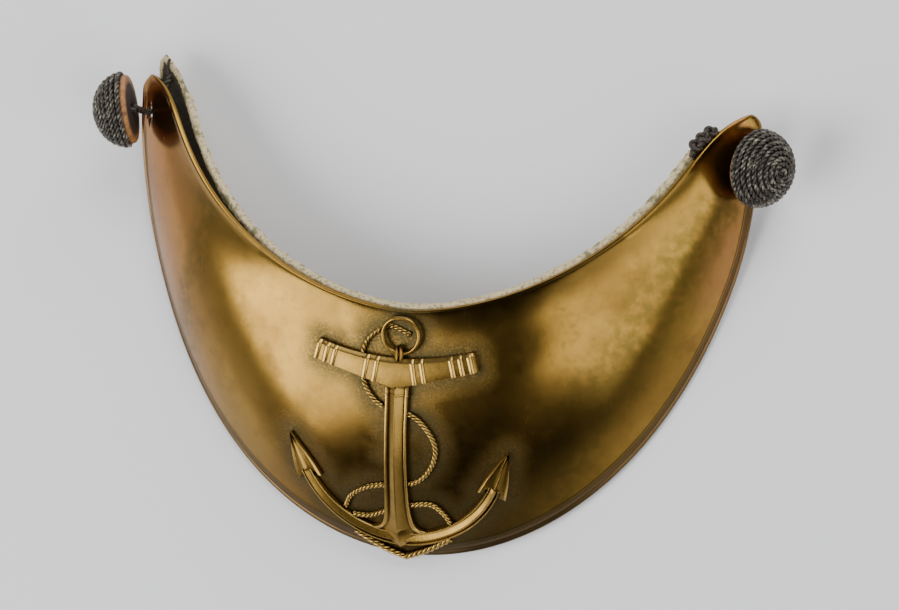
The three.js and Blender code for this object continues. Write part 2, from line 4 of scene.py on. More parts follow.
import bmesh
import bpy
from mathutils import Matrix, Vector, noise
from mathutils.bvhtree import BVHTree
from mathutils.kdtree import KDTree

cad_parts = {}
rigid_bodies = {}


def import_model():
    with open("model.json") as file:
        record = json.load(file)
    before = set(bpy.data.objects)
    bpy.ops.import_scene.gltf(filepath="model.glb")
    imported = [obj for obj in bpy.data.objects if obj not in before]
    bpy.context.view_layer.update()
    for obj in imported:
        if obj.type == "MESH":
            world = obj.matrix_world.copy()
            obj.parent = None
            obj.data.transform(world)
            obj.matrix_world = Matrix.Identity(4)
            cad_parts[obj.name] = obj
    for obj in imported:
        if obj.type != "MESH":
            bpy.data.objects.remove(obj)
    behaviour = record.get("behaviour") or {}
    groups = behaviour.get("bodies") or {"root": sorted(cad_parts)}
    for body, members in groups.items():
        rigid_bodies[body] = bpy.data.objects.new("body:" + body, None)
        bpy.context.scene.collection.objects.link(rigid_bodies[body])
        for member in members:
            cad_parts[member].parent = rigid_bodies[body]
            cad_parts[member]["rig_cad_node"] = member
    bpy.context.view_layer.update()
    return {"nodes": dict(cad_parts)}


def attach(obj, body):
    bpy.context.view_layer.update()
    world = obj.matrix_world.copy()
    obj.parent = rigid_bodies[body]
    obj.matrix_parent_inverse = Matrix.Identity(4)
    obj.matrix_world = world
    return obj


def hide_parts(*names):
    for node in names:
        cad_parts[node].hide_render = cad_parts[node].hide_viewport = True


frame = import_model()
MM = 0.001


# The table and the studio light.
# The gorget lies on a pale matt table. Two large soft boxes stand below it, one at each hand, a
# weaker one stands beyond the neck, and the dark room between them shows as brown in the brass.
TABLE_GREY = (0.87, 0.875, 0.89, 1)
TABLE_SIZE = 8
SOFT_BOXES = [
    {"name": "left_soft_box", "towards": (-0.61, -0.34, 0.71), "away": 1.2, "size": 0.85,
     "power": 14.5},
    {"name": "right_soft_box", "towards": (0.65, -0.27, 0.7), "away": 1.3, "size": 1.0,
     "power": 9},
    {"name": "far_soft_box", "towards": (0.25, 0.75, 0.6), "away": 1.3, "size": 1.0,
     "power": 13},
]
ROOM_GREY = (0.95, 0.96, 1.0, 1)
ROOM_LOW = 0.8
ROOM_HIGH = 0.045
SCREENS_FOOT = 0.1
SCREENS_TOP = 0.42

bpy.ops.object.select_all(action="DESELECT")
bpy.ops.mesh.primitive_plane_add(size=TABLE_SIZE)
table = bpy.context.object
table.name = "table"
table_finish = bpy.data.materials.new("pale_table")
table_finish.use_nodes = True
table_shader = table_finish.node_tree.nodes["Principled BSDF"]
table_shader.inputs["Base Color"].default_value = TABLE_GREY
table_shader.inputs["Roughness"].default_value = 0.9
table_shader.inputs["Specular IOR Level"].default_value = 0.2
table.data.materials.append(table_finish)

for box in SOFT_BOXES:
    towards = Vector(box["towards"]).normalized()
    bpy.ops.object.light_add(type="AREA", location=towards * box["away"])
    lamp = bpy.context.object
    lamp.name = box["name"]
    lamp.rotation_euler = towards.to_track_quat("Z", "Y").to_euler()
    lamp.data.shape = "SQUARE"
    lamp.data.size = box["size"]
    lamp.data.energy = box["power"]

# Pale screens stand low round the table, and the room above them is dark.
room = bpy.data.worlds.new("room")
room.use_nodes = True
room_nodes = room.node_tree.nodes
room_links = room.node_tree.links
looked_at = room_nodes.new("ShaderNodeTexCoord")
heights = room_nodes.new("ShaderNodeSeparateXYZ")
screens = room_nodes.new("ShaderNodeMapRange")
screens.interpolation_type = "SMOOTHSTEP"
screens.inputs["From Min"].default_value = SCREENS_FOOT
screens.inputs["From Max"].default_value = SCREENS_TOP
screens.inputs["To Min"].default_value = ROOM_LOW
screens.inputs["To Max"].default_value = ROOM_HIGH
room_links.new(looked_at.outputs["Generated"], heights.inputs["Vector"])
room_links.new(heights.outputs["Z"], screens.inputs["Value"])
room_links.new(screens.outputs["Result"], room_nodes["Background"].inputs["Strength"])
room_nodes["Background"].inputs["Color"].default_value = ROOM_GREY
bpy.context.scene.world = room


# The camera.
# It looks down from a little to the gorget's right, through a long lens, and is turned so that
# the neck is at the top of the picture.
CAMERA_AZIMUTH = math.radians(85.71)
CAMERA_ELEVATION = math.radians(74.61)
CAMERA_ROLL = math.radians(-80.63)
CAMERA_AIM = Vector((5.75, 2.59, 12)) * MM
CAMERA_DISTANCE = 918.9 * MM
CAMERA_LENS = 169.9

away = Vector((
    math.sin(CAMERA_AZIMUTH) * math.cos(CAMERA_ELEVATION),
    -math.cos(CAMERA_AZIMUTH) * math.cos(CAMERA_ELEVATION),
    math.sin(CAMERA_ELEVATION)))
level = Vector((math.cos(CAMERA_AZIMUTH), math.sin(CAMERA_AZIMUTH), 0))
turned = Matrix((level, away.cross(level), away)).transposed()
turned = turned @ Matrix.Rotation(CAMERA_ROLL, 3, "Z")
bpy.ops.object.camera_add(location=CAMERA_AIM + away * CAMERA_DISTANCE, rotation=turned.to_euler())
camera = bpy.context.object
camera.data.lens = CAMERA_LENS
camera.data.sensor_width = 36
camera.data.clip_start = 0.01
bpy.context.scene.camera = camera


# Front plate.
# A crescent cut from brass sheet, bent round the neck and raised to a full belly. Its neck edge
# has a fine bead, and its outer edge is turned to a rounded lip with a groove inside it.
REST_TURN = math.radians(26.069)
PLATE_ORIGIN = Vector((-0.361, 67.42, 56.01)) * MM
TO_PLATE = (Matrix.Translation(PLATE_ORIGIN) @ Matrix.Rotation(REST_TURN, 4, "X")).inverted()
MERGED = 0.002 * MM
SHARP = math.radians(55)


def finer(piece):
    """One level of a finer, smoother skin."""
    skin = piece.modifiers.new("skin", "SUBSURF")
    skin.levels = 1
    skin.render_levels = 1
    bpy.ops.object.modifier_apply(modifier=skin.name)


def creased(piece):
    """Marks only the sharp edges, so that a finer skin keeps them."""
    old_marks = piece.data.attributes.get("crease_edge")
    if old_marks:
        piece.data.attributes.remove(old_marks)
    bpy.ops.object.mode_set(mode="EDIT")
    bpy.ops.mesh.select_mode(type="EDGE")
    bpy.ops.mesh.select_all(action="DESELECT")
    bpy.ops.mesh.edges_select_sharp(sharpness=SHARP)
    bpy.ops.transform.edge_crease(value=1)
    bpy.ops.object.mode_set(mode="OBJECT")


def rounded_tips(piece, beyond, times):
    """Rounds what lies beyond a line, in millimetres towards the neck."""
    bpy.ops.object.mode_set(mode="EDIT")
    bpy.ops.mesh.select_mode(type="VERT")
    bpy.ops.mesh.select_all(action="DESELECT")
    bpy.ops.object.mode_set(mode="OBJECT")
    for vertex in piece.data.vertices:
        vertex.select = vertex.co.y > beyond * MM
    bpy.ops.object.mode_set(mode="EDIT")
    bpy.ops.mesh.vertices_smooth(factor=0.5, repeat=times)
    bpy.ops.object.mode_set(mode="OBJECT")


def copy_of(node, name, levels=0, tips_from=None, crisp=False):
    """A solid's copy, with its corners merged, its triangles paired, and a finer skin.

    Horn ends that lie beyond tips_from, in millimetres towards the neck, are rounded. A crisp
    piece keeps its sharp edges.
    """
    bpy.ops.object.select_all(action="DESELECT")
    piece = frame["nodes"][node].copy()
    piece.data = piece.data.copy()
    piece.name = name
    piece.data.materials.clear()
    del piece["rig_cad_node"]
    bpy.context.scene.collection.objects.link(piece)
    piece.parent = None
    piece.hide_render = False
    piece.select_set(True)
    bpy.context.view_layer.objects.active = piece
    bpy.ops.object.mode_set(mode="EDIT")
    bpy.ops.mesh.select_all(action="SELECT")
    bpy.ops.mesh.remove_doubles(threshold=MERGED)
    bpy.ops.mesh.customdata_custom_splitnormals_clear()
    bpy.ops.mesh.tris_convert_to_quads(
        face_threshold=math.radians(60), shape_threshold=math.radians(70))
    bpy.ops.object.mode_set(mode="OBJECT")
    for level in range(levels):
        if crisp:
            creased(piece)
        finer(piece)
        if level == 0 and tips_from is not None:
            rounded_tips(piece, tips_from, 3)
    bpy.ops.object.shade_smooth()
    return piece


class Wire:
    """A socket in a material's nodes. Sums of wires add the nodes that work them out."""

    def __init__(self, tree, socket=None):
        self.tree = tree
        self.socket = socket

    def node(self, kind, inputs=None, output=0, stops=None, **settings):
        made = self.tree.nodes.new("ShaderNode" + kind)
        for name, value in settings.items():
            setattr(made, name, value)
        if stops:
            elements = made.color_ramp.elements
            while len(elements) < len(stops):
                elements.new(0.5)
            for element, (position, colour) in zip(elements, stops):
                element.position = position
                element.color = colour
        for name, value in (inputs or {}).items():
            if isinstance(value, Wire):
                self.tree.links.new(value.socket, made.inputs[name])
            else:
                made.inputs[name].default_value = value
        return Wire(self.tree, made.outputs[output])

    def _sum(self, operation, first, second):
        return self.node("Math", {0: first, 1: second}, operation=operation)

    def __add__(self, other):
        return self._sum("ADD", self, other)

    def __radd__(self, other):
        return self._sum("ADD", other, self)

    def __sub__(self, other):
        return self._sum("SUBTRACT", self, other)

    def __rsub__(self, other):
        return self._sum("SUBTRACT", other, self)

    def __mul__(self, other):
        return self._sum("MULTIPLY", self, other)

    def __rmul__(self, other):
        return self._sum("MULTIPLY", other, self)


def finish(name, paint):
    """A material. paint takes the place on the object and returns what each socket gets."""
    material = bpy.data.materials.new(name)
    material.use_nodes = True
    tree = material.node_tree
    shader = tree.nodes["Principled BSDF"]
    place = Wire(tree).node("TexCoord", output="Object")
    for socket, value in paint(place).items():
        if isinstance(value, Wire):
            tree.links.new(value.socket, shader.inputs[socket])
        else:
            shader.inputs[socket].default_value = value
    return material


def mixed(share, under, over):
    """One colour laid over another by a share."""
    return share.node("Mix", {0: share, 6: under, 7: over}, output=2, data_type="RGBA")


def ramp(wire, low, high):
    """0 at low, 1 at high, and smooth between them."""
    return wire.node(
        "MapRange", {"Value": wire, "From Min": low, "From Max": high},
        interpolation_type="SMOOTHSTEP")


def cloud(place, size, detail=3, roughness=0.55):
    """Soft noise with lumps of a size in millimetres, from 0 to 1 about 0.5."""
    return place.node(
        "TexNoise",
        {"Vector": place, "Scale": 1 / (size * MM), "Detail": detail, "Roughness": roughness})


def scratches(place, turn, width, length):
    """Fine lines along one way over the plate, 1 on a line."""
    scale = (1 / (width * MM), 1 / (length * MM), 60)
    stretched = place.node("Mapping", {"Vector": place, "Rotation": (0, 0, turn), "Scale": scale})
    lines = stretched.node("TexNoise", {"Vector": stretched, "Scale": 1, "Detail": 1})
    return ramp(lines, 0.66, 0.74)


def axis_of(place, axis):
    """How far along one axis, in millimetres."""
    return place.node("SeparateXYZ", {"Vector": place}, output=axis) * (1 / MM)


def stripe(x, y, middle, turn, half, soft):
    """1 along a straight stripe through a point of the plate, and 0 beyond its soft edge."""
    across = (x - middle[0]) * math.cos(turn) + (y - middle[1]) * math.sin(turn)
    return 1 - ramp(across.node("Math", {0: across}, operation="ABSOLUTE"), half, half + soft)


def bumped(height, distance, strength=1.0):
    """A surface raised by height times a distance in millimetres."""
    return height.node("Bump", {"Height": height, "Distance": distance * MM, "Strength": strength})


FULL_TIPS = [
    {"at": (67.8, 46.6, 8.0), "reach": 5.5, "push": (1.4, 1.3, -1.0)},
    {"at": (-68.6, 45.6, 8.0), "reach": 4, "push": (-0.7, 0.5, -0.4)},
]
BRASS_GOLD = (0.28, 0.163, 0.033, 1)
BRASS_BROWN = (0.14, 0.072, 0.016, 1)
# Painted dark reflection and shade.
BRASS_PAINTED_DARK = (0.06, 0.036, 0.009, 1)
# Painted reflection: the copper of the pale table mirrored in the plate's outer sides.
BRASS_COPPER_REFLECTION = (0.42, 0.19, 0.066, 1)
BRASS_OLIVE = (0.1, 0.075, 0.013, 1)
BRASS_GREEN = (0.045, 0.038, 0.01, 1)
BRASS_LIP = (0.085, 0.055, 0.026, 1)
TIP_LINE = 42.5
TIP_ROUNDS = 14


def brass_paint(place):
    blotches = cloud(place, 20, 4)
    patches = cloud(place, 7, 4)
    fine = cloud(place, 2.2, 5)
    speckle = cloud(place, 0.45, 2)
    lines = scratches(place, 0.5, 0.14, 16) + scratches(place, -0.9, 0.12, 12)
    x = axis_of(place, "X") + (blotches - 0.5) * 14
    y = axis_of(place, "Y") + (patches - 0.5) * 8
    dirt_and_shade = place.node("Attribute", output="Fac", attribute_name="dirt_and_shade")
    border = place.node("Attribute", output="Fac", attribute_name="border")
    neck = place.node("Attribute", output="Fac", attribute_name="neck")
    short_of_tips = 1 - ramp(y, 33, 41)
    lip = ramp(border, 0.58, 0.66) * short_of_tips
    groove_shade = ramp(border, 0.44, 0.5) * (1 - ramp(border, 0.54, 0.6)) * short_of_tips
    # Painted reflection: the left horn and the right rim are painted copper where they mirror the
    # pale table.
    left_horn_reflection = 1 - ramp(x, -66, -42)
    right_rim_reflection = ramp(x, 57, 67)
    # Painted reflection: an olive streak on each side stands for the dark room mirrored there.
    left_olive_reflection = stripe(x, y, (-47, 22), -0.25, 0.6, 5)
    right_olive_reflection = stripe(x, y, (51, 4), -0.46, 2, 6)
    olive_reflection = left_olive_reflection * 0.5 + right_olive_reflection * 0.6
    # Painted reflection: the lower middle round the anchor and the bottom of the plate are painted
    # darker brown, for the dark room they mirror.
    from_middle = x.node("Math", {0: x + 4}, operation="ABSOLUTE")
    middle_dark_reflection = (1 - ramp(from_middle, 12, 34)) * (1 - ramp(y, -30, 4))
    dull = ramp(blotches, 0.46, 0.64) * 0.45 + ramp(patches, 0.5, 0.72) * 0.3
    low_dark_reflection = (1 - ramp(y, -40, -22)) * 0.4 + middle_dark_reflection * 0.45
    # Painted shade: a dark stripe low on the right, where the plate mirrors the dark room.
    shade = stripe(x, y, (33, -28), -0.6, 1, 9) * 0.6 * (1 - ramp(y, -14, 4))
    # Painted reflection: a dark band under the neck bead, where the hollow inside the flare mirrors
    # the dark room; the bead itself goes back to the plain gold.
    along_neck = (0.3 + ramp(x, -12, 8) * 0.5) * (1 - ramp(x, 40, 58))
    under_neck_reflection = ramp(neck, 0.15, 0.7) * along_neck
    colour = mixed(dull, BRASS_GOLD, BRASS_BROWN)
    colour = mixed(left_horn_reflection * 0.8 + right_rim_reflection * 0.6, colour, BRASS_COPPER_REFLECTION)
    colour = mixed(olive_reflection * ramp(fine, 0.3, 0.6), colour, BRASS_OLIVE)
    colour = mixed(low_dark_reflection, colour, BRASS_BROWN)
    colour = mixed(middle_dark_reflection * 0.5 + shade, colour, BRASS_PAINTED_DARK)
    colour = mixed(under_neck_reflection, colour, BRASS_PAINTED_DARK)
    colour = mixed(ramp(neck, 0.86, 0.93), colour, BRASS_GOLD)
    colour = mixed(ramp(fine, 0.52, 0.78) * 0.3, colour, BRASS_OLIVE)
    colour = mixed(ramp(speckle, 0.64, 0.8) * 0.4, colour, BRASS_BROWN)
    # Dirt round the casting, also painted dark green-brown as the shade at its foot.
    colour = mixed(dirt_and_shade * ramp(speckle + patches * 0.6, 0.55, 0.9), colour, BRASS_GREEN)
    # The lip is grey-brown, and also painted darker as a dark reflection.
    colour = mixed(lip * 0.85, colour, BRASS_LIP)
    # Painted shade: the groove inside the lip is painted dark.
    colour = mixed(groove_shade * 0.9, colour, BRASS_GREEN)
    colour = mixed(lines * 0.04, colour, BRASS_GOLD)
    height = fine * 0.2 + lines * -0.005 + speckle * (0.12 + dirt_and_shade * 0.5)
    height = height + cloud(place, 16, 1) * 1.5
    return {
        "Base Color": colour,
        "Metallic": 1 - dirt_and_shade * 0.25,
        "Roughness": 0.15 + fine * 0.1 + dull * 0.1 + dirt_and_shade * 0.24 + lip * 0.12 + lines * 0.02,
        "Normal": bumped(height, 0.05),
    }


plate = copy_of("front_plate", "plate_sheet", 2, tips_from=41)
# Each horn is full and round at its end.
for full in FULL_TIPS:
    for vertex in plate.data.vertices:
        near = max(0.0, 1 - (vertex.co - Vector(full["at"]) * MM).length / (full["reach"] * MM))
        vertex.co += Vector(full["push"]) * MM * near * near * (3 - 2 * near)
rounded_tips(plate, TIP_LINE, TIP_ROUNDS)
plate.data.materials.append(finish("brass_sheet", brass_paint))
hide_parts("front_plate")
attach(plate, "root")


# Lining.
# A crescent of thin leather behind the plate. Its edge is dry, pale and crusty with green stains
# from the brass, and the face towards the plate lies in its shadow and is painted dark as shade.
LINING_CREAM = (0.66, 0.55, 0.32, 1)
LINING_STAIN = (0.27, 0.2, 0.1, 1)
LINING_GREEN = (0.1, 0.12, 0.035, 1)
# Painted shade on the face towards the plate.
LINING_SHADE = (0.045, 0.035, 0.018, 1)
LINING_BUFF = (0.34, 0.23, 0.13, 1)
LINING_WORN = (0.14, 0.085, 0.045, 1)
CRUST_LUMP = 1.3
CRUST_DEPTH = 0.4
CRUST_REACH = 1.5
CRUST_SEED = 5
EDGE_REACH = 2.6
RIM_STEP = 0.4


def mark_distance(piece, name, points, reach):
    """Gives each vertex 1 at the nearest of some points, falling to 0 at a reach in millimetres."""
    tree = KDTree(len(points))
    for index, point in enumerate(points):
        tree.insert(point, index)
    tree.balance()
    marks = piece.data.attributes.new(name, "FLOAT", "POINT")
    for vertex in piece.data.vertices:
        near = tree.find(vertex.co)[2] / (reach * MM)
        marks.data[vertex.index].value = max(0.0, 1 - near)
    return marks


def rim_points(node):
    """Close points along the sharp edges of a sheet."""
    sheet = bmesh.new()
    sheet.from_mesh(frame["nodes"][node].data)
    bmesh.ops.remove_doubles(sheet, verts=sheet.verts, dist=MERGED)
    points = []
    for edge in sheet.edges:
        if len(edge.link_faces) == 2 and edge.calc_face_angle() > SHARP:
            first, last = (vertex.co for vertex in edge.verts)
            count = max(2, int((last - first).length / (RIM_STEP * MM)))
            points += [first.lerp(last, step / count) for step in range(count)]
    sheet.free()
    return points


def lining_paint(place):
    grain = cloud(place, 0.7, 4)
    patches = cloud(place, 4.5, 4)
    # Painted shade: faces that turn up towards the plate, which lie in its shadow, are painted near
    # black.
    facing = place.node("NewGeometry", output="Normal")
    normal = [facing.node("SeparateXYZ", {"Vector": facing}, output=axis) for axis in "XYZ"]
    front = normal[0] * axis_of(place, "X") * 0.01 + normal[1] * -0.35 + normal[2] * 0.8
    edge = place.node("Attribute", output="Fac", attribute_name="edge")
    pale = ramp(edge + (patches - 0.5) * 0.7 + (grain - 0.5) * 0.7, 0.36, 0.5)
    back = mixed(ramp(cloud(place, 11, 5), 0.42, 0.66) * 0.7, LINING_BUFF, LINING_WORN)
    back = mixed(ramp(patches, 0.6, 0.75) * 0.5, back, LINING_GREEN)
    face = mixed(ramp(front, 0.1, 0.4), back, LINING_SHADE)
    rind = mixed(ramp(patches, 0.55, 0.64) * 0.8, LINING_CREAM, LINING_GREEN)
    rind = mixed(ramp(grain, 0.5, 0.62) * 0.8, rind, LINING_STAIN)
    return {
        "Base Color": mixed(pale, face, rind),
        "Roughness": 0.85 + grain * 0.1,
        "Normal": bumped(grain + patches, 0.4),
    }


lining = copy_of("lining", "lining_leather", 3, tips_from=44, crisp=True)
edge_marks = mark_distance(lining, "edge", rim_points("lining"), EDGE_REACH)
noise.seed_set(CRUST_SEED)
for vertex in lining.data.vertices:
    inwards = 1 - edge_marks.data[vertex.index].value
    share = max(0.0, 1 - inwards * EDGE_REACH / CRUST_REACH)
    lump = noise.noise_vector(vertex.co / (CRUST_LUMP * MM))
    small = noise.noise_vector(vertex.co / (0.4 * CRUST_LUMP * MM))
    vertex.co += (lump * 0.7 + small * 0.3) * share * CRUST_DEPTH * MM
lining.data.materials.append(finish("lining_leather", lining_paint))
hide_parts("lining")
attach(lining, "root")


# Anchor.
# One gilt casting of stock, shank, arms, flukes, ring and rope, filed bright on its ridges. Its
# ridges, the stock's top bevel and the rope are also painted lighter as highlights, and its
# hollows painted darker, as dirt and as shade. It is modelled flat in its own plan, from its foot
# upwards, and laid on the front of the plate.
ANCHOR_FOOT_UP = -126.5
ANCHOR_SHIFT = -1.5
SEAT_GAP = 0.3
SUNK = -0.25
STOCK_LENGTH = 35.6
STOCK_TOP = 42.7
STOCK_DEPTH = 6.5
STOCK_END_DEPTH = 4.3
STOCK_UPTURN = 2.5
STOCK_RISE = 1.7
BAND_WIDTH = 1.15
BAND_RISE = 0.36
SHANK_LEAN = 1.2
SHANK_RISE = 1.9
ARM_RADIUS = 22.8
ARM_SWEEP = math.radians(68)
ARM_WIDTH = 3.2
ARM_RISE = 1.5
FLUKE_LENGTH = 9.2
FLUKE_WIDTH = 6.6
FLUKE_RISE = 1.2
RING_RADIUS = 4
RING_WIRE = 1
RING_SHIFT = 1.2
BORDER_CURVE = 120
BORDER_DROP = 3.1
FOOT_LIFT = 0.35
WELL_ABOVE = 0.05

plate_skin = BVHTree.FromPolygons(
    [TO_PLATE @ vertex.co for vertex in plate.data.vertices],
    [face.vertices for face in plate.data.polygons])


def laid(x, y, height):
    """The place of a point of the anchor's plan, at a height in millimetres over the plate.

    Past the plate's border it goes on straight, so that the rope under the crown stands clear.
    """
    inside = max(y, x * x / BORDER_CURVE - BORDER_DROP)
    above = Vector(((x + ANCHOR_SHIFT) * MM, (inside + ANCHOR_FOOT_UP) * MM, WELL_ABOVE))
    hit, normal, _, _ = plate_skin.ray_cast(above, Vector((0, 0, -1)))
    if hit is None:
        hit, normal, _, _ = plate_skin.find_nearest(above - Vector((0, 0, WELL_ABOVE)))
    if inside > y:
        down = Vector((0, -1, 0))
        hit = hit + (down + normal * normal.y).normalized() * (inside - y) * MM
    lift = FOOT_LIFT * min(1.0, max(0.0, (1.5 - y) / 4))
    return TO_PLATE.inverted() @ (hit + normal * (height + lift) * MM)


def laid_bar(name, stations, section, loop=False):
    """A bar of the casting. stations hold x, y, half and rise; section holds side and up."""
    bpy.ops.object.select_all(action="DESELECT")
    columns = len(section)
    rows = len(stations) + (1 if loop else 0)
    bpy.ops.mesh.primitive_grid_add(x_subdivisions=columns, y_subdivisions=rows - 1)
    bar = bpy.context.object
    bar.name = name
    count = len(stations)
    for row in range(rows):
        here = stations[row % count]
        before = stations[(row - 1) % count] if loop else stations[max(0, row - 1)]
        after = stations[(row + 1) % count] if loop else stations[min(count - 1, row + 1)]
        way = Vector((after["x"] - before["x"], after["y"] - before["y"])).normalized()
        for column in range(columns + 1):
            corner = section[column % columns]
            side = corner["side"] * here["half"]
            back = here.get("barb", 0) * abs(corner["side"]) ** 1.5
            height = SUNK if corner["up"] == 0 else SEAT_GAP + corner["up"] * here["rise"]
            x = here["x"] - way.y * side - way.x * back
            y = here["y"] + way.x * side - way.y * back
            bar.data.vertices[row * (columns + 1) + column].co = laid(x, y, height)
    rubbed_and_highlit = bar.data.attributes.new("rubbed_and_highlit", "FLOAT", "POINT")
    for row in range(rows):
        for column in range(columns + 1):
            corner = section[column % columns]
            rubbed_and_highlit.data[row * (columns + 1) + column].value = corner.get("rubbed_and_highlit", 0)
    bpy.ops.object.mode_set(mode="EDIT")
    bpy.ops.mesh.select_all(action="SELECT")
    bpy.ops.mesh.remove_doubles(threshold=0.01 * MM)
    bpy.ops.mesh.fill_holes(sides=columns)
    bpy.ops.mesh.select_all(action="SELECT")
    bpy.ops.mesh.normals_make_consistent(inside=False)
    bpy.ops.object.mode_set(mode="OBJECT")
    return bar


# In the sections a share marks corners painted lighter: the rims and bands as wear and as painted
# highlights, and the stock's top bevel and one side of the ridges as painted highlights.
ROOF = [
    {"side": -1, "up": 0}, {"side": -1, "up": 0.45}, {"side": -0.93, "up": 0.62, "rubbed_and_highlit": 1},
    {"side": -0.78, "up": 0.62, "rubbed_and_highlit": 1}, {"side": -0.66, "up": 0.32},
    {"side": -0.05, "up": 1, "rubbed_and_highlit": 0.3}, {"side": 0.05, "up": 1}, {"side": 0.66, "up": 0.32},
    {"side": 0.78, "up": 0.62, "rubbed_and_highlit": 1}, {"side": 0.93, "up": 0.62, "rubbed_and_highlit": 1},
    {"side": 1, "up": 0.45}, {"side": 1, "up": 0},
]
BEVELLED = [
    {"side": -1, "up": 0}, {"side": -1, "up": 0.86}, {"side": -0.94, "up": 0.93},
    {"side": 0.62, "up": 1}, {"side": 0.7, "up": 0.97, "rubbed_and_highlit": 1},
    {"side": 1, "up": 0.6, "rubbed_and_highlit": 0.7}, {"side": 1, "up": 0},
]
LEAF = [
    {"side": -1, "up": 0}, {"side": -1, "up": 0.6, "rubbed_and_highlit": 0.8},
    {"side": -0.88, "up": 0.9, "rubbed_and_highlit": 1}, {"side": -0.7, "up": 0.38},
    {"side": -0.14, "up": 0.5}, {"side": 0, "up": 1, "rubbed_and_highlit": 0.5}, {"side": 0.14, "up": 0.5},
    {"side": 0.7, "up": 0.38}, {"side": 0.88, "up": 0.9, "rubbed_and_highlit": 1},
    {"side": 1, "up": 0.6, "rubbed_and_highlit": 0.8}, {"side": 1, "up": 0},
]
ROUNDED = [{**corner, "rubbed_and_highlit": 1 if corner["up"] else 0} for corner in BEVELLED]
FLAT = [
    {"side": -1, "up": 0}, {"side": -1, "up": 0.8}, {"side": 0, "up": 1}, {"side": 1, "up": 0.8},
    {"side": 1, "up": 0},
]


def stock_outline(share):
    """The stock's lower and upper edge at a share of its half length."""
    upper = STOCK_TOP + STOCK_UPTURN * share ** 2
    end_lower = STOCK_TOP + STOCK_UPTURN - STOCK_END_DEPTH
    middle_lower = STOCK_TOP - STOCK_DEPTH
    return middle_lower + (end_lower - middle_lower) * abs(share), upper


def stock_station(share, proud=0.0):
    lower, upper = stock_outline(share)
    return {
        "x": share * STOCK_LENGTH / 2, "y": (lower + upper) / 2,
        "half": (upper - lower) / 2 + proud * 0.12,
        "rise": STOCK_RISE * (1 - 0.12 * share ** 2) + proud}


anchor_bars = []
stock_steps = [step / 15.5 for step in range(-15, 16)]
stock_steps = [-1, -0.992, -0.98, *stock_steps, 0.98, 0.992, 1]
stock_stations = [stock_station(share) for share in stock_steps]
for station in stock_stations:
    near_end = max(0, abs(station["x"]) * 2 / STOCK_LENGTH - 0.965) / 0.035
    station["half"] *= 1 - 0.16 * near_end ** 2
    station["rise"] *= 1 - 0.45 * near_end ** 2
anchor_bars.append(laid_bar("stock", stock_stations, BEVELLED))

# Rounded bands cross the stock in pairs, and the ends have a rounded cap.
BAND_SHARES = [-0.975, -0.865, -0.765, -0.36, -0.235, 0.235, 0.35, 0.71, 0.82, 0.93]
for share in BAND_SHARES:
    half_band = BAND_WIDTH / STOCK_LENGTH
    stations = [
        stock_station(share + half_band * place, BAND_RISE * math.sqrt(1 - place ** 2) + 0.02)
        for place in (-1, -0.8, -0.4, 0, 0.4, 0.8, 1)]
    anchor_bars.append(laid_bar("band", stations, ROUNDED))

# The shank spreads at its foot into the arms.
SHANK_SPREAD = [
    {"y": 1.3, "half": 6.6, "barb": -1.1}, {"y": 1.75, "half": 5.6, "barb": -0.75},
    {"y": 2.4, "half": 4.7, "barb": -0.4}, {"y": 3.3, "half": 3.95, "barb": -0.15},
    {"y": 4.6, "half": 3.4, "barb": 0}, {"y": 6.6, "half": 3.0, "barb": 0},
    {"y": 9.5, "half": 2.75, "barb": 0}, {"y": 14, "half": 2.6, "barb": 0},
    {"y": 20, "half": 2.52, "barb": 0}, {"y": 27, "half": 2.5, "barb": 0},
    {"y": 34, "half": 2.55, "barb": 0}, {"y": 36.3, "half": 2.6, "barb": 0},
]
shank_rows = [
    {**row, "x": (row["y"] / 39 - 0.5) * SHANK_LEAN,
     "rise": SHANK_RISE * min(1, 0.72 + row["y"] / 12)} for row in SHANK_SPREAD]
shank_rows.append({"x": 0.52, "y": 37.6, "half": 2.6, "barb": 0, "rise": 0.9})
anchor_bars.append(laid_bar("shank", shank_rows, ROOF))

# The shank's ridge runs on through the arms as a keel.
KEEL = [
    {"side": -1, "up": 0}, {"side": -1, "up": 0.35}, {"side": -0.08, "up": 1},
    {"side": 0.08, "up": 1}, {"side": 1, "up": 0.35}, {"side": 1, "up": 0},
]
anchor_bars.append(laid_bar("keel", [
    {"x": -0.5, "y": -2.2, "half": 1.2, "rise": 0.9},
    {"x": -0.5, "y": -1.2, "half": 2.0, "rise": 1.45},
    {"x": -0.5, "y": 0.0, "half": 2.9, "rise": 1.72},
    {"x": -0.5, "y": 1.2, "half": 3.5, "rise": 1.8},
    {"x": -0.45, "y": 2.8, "half": 3.0, "rise": 1.7}], KEEL))

# A thin collar crosses the shank's head under the stock.
collar_up = STOCK_TOP - STOCK_DEPTH - 1.4
anchor_bars.append(laid_bar("collar", [
    {"x": SHANK_LEAN * 0.42, "y": collar_up + offset, "half": 2.66, "rise": SHANK_RISE + proud}
    for offset, proud in ((-0.3, 0), (-0.15, 0.14), (0.15, 0.14), (0.3, 0))], ROOF))


def arm_point(angle):
    return ARM_RADIUS * math.sin(angle), ARM_RADIUS * (1 - math.cos(angle))


arm_stations = []
for step in range(41):
    share = step / 20 - 1
    x, y = arm_point(share * ARM_SWEEP)
    half = ARM_WIDTH / 2 * (1 - 0.22 * share ** 2)
    arm_stations.append({"x": x, "y": y, "half": half, "rise": ARM_RISE})
anchor_bars.append(laid_bar("arms", arm_stations, ROOF))

